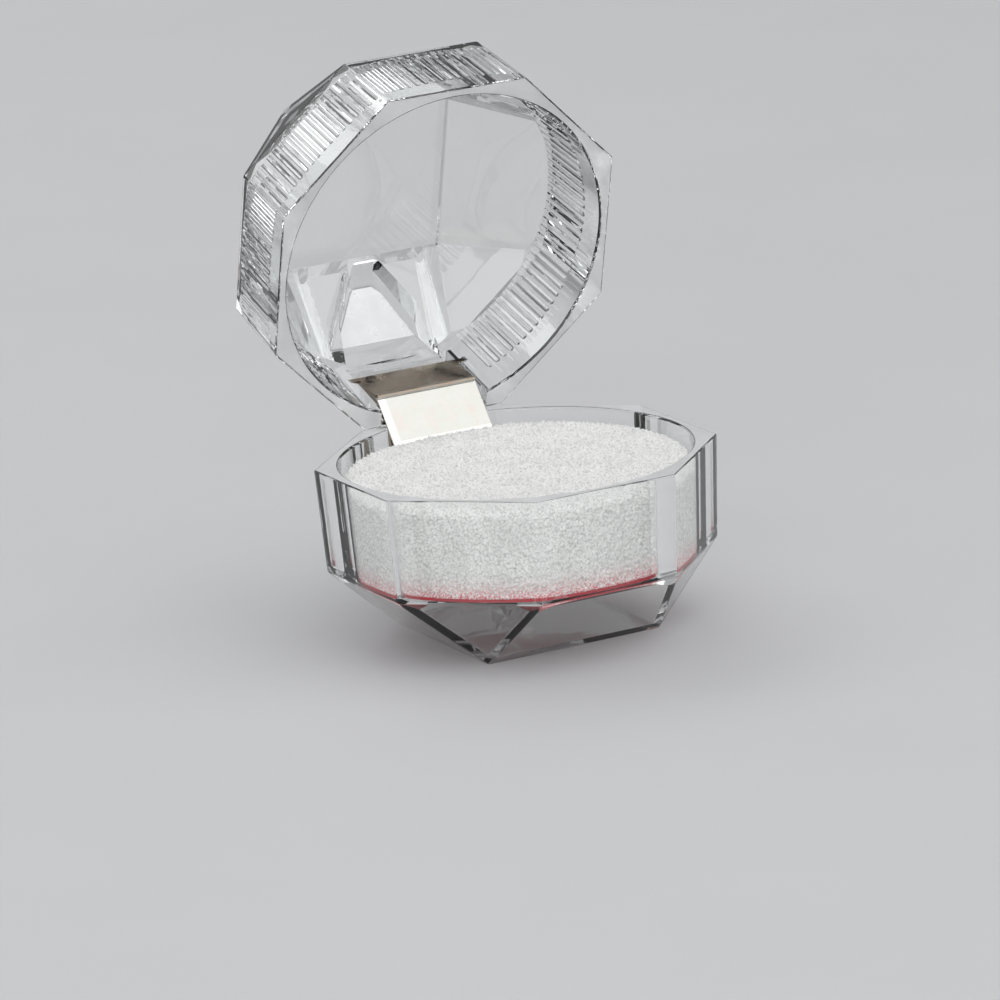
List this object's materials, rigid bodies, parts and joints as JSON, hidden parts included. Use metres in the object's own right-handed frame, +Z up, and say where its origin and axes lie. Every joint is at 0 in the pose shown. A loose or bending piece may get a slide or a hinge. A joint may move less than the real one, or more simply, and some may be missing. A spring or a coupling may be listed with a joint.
{
  "type": "ring display box",
  "caption": "Clear faceted ring box standing open: two hollow shells, a foam pad on a coloured card and a small sheet-metal hinge with a stay plate.",
  "frame": {"origin": "middle of the square foot, on the face that the box stands on", "axes": "+Z up, +Y to the back where the hinge is, +X to the right seen from the front"},
  "size_m": [0.038, 0.0528, 0.0572],
  "materials": {
    "clear_shell": "clear crystal polystyrene, polished facets, frosted rim face",
    "red_card": "red paper card",
    "white_foam": "open-cell white foam",
    "hinge_steel": "bright rolled sheet, slightly tinted",
    "hinge_pin": "drawn wire",
    "stay_steel": "bright sheet with brighter edges"
  },
  "bodies": {
    "base": {"base_shell": "clear_shell", "base_card": "red_card", "foam_pad": "white_foam", "base_leaf": "hinge_steel", "hinge_pin": "hinge_pin"},
    "lid": {"lid_shell": "clear_shell", "lid_leaf": "hinge_steel"},
    "stay": {"stay_plate": "stay_steel"}
  },
  "joints": [
    {"name": "lid_hinge", "type": "hinge", "parent": "base", "child": "lid", "pos_m": [0, 0.0184, 0.01912], "axis": [1, 0, 0], "range_deg": [0, 73.6]},
    {"name": "stay_hinge", "type": "hinge", "parent": "lid", "child": "stay", "pos_m": [0, 0.01933, 0.02129], "axis": [1, 0, 0], "range_deg": [-36.8, 0]}
  ],
  "couplings": [
    {"joint": "stay_hinge", "follows": "lid_hinge", "ratio": -0.5}
  ]
}
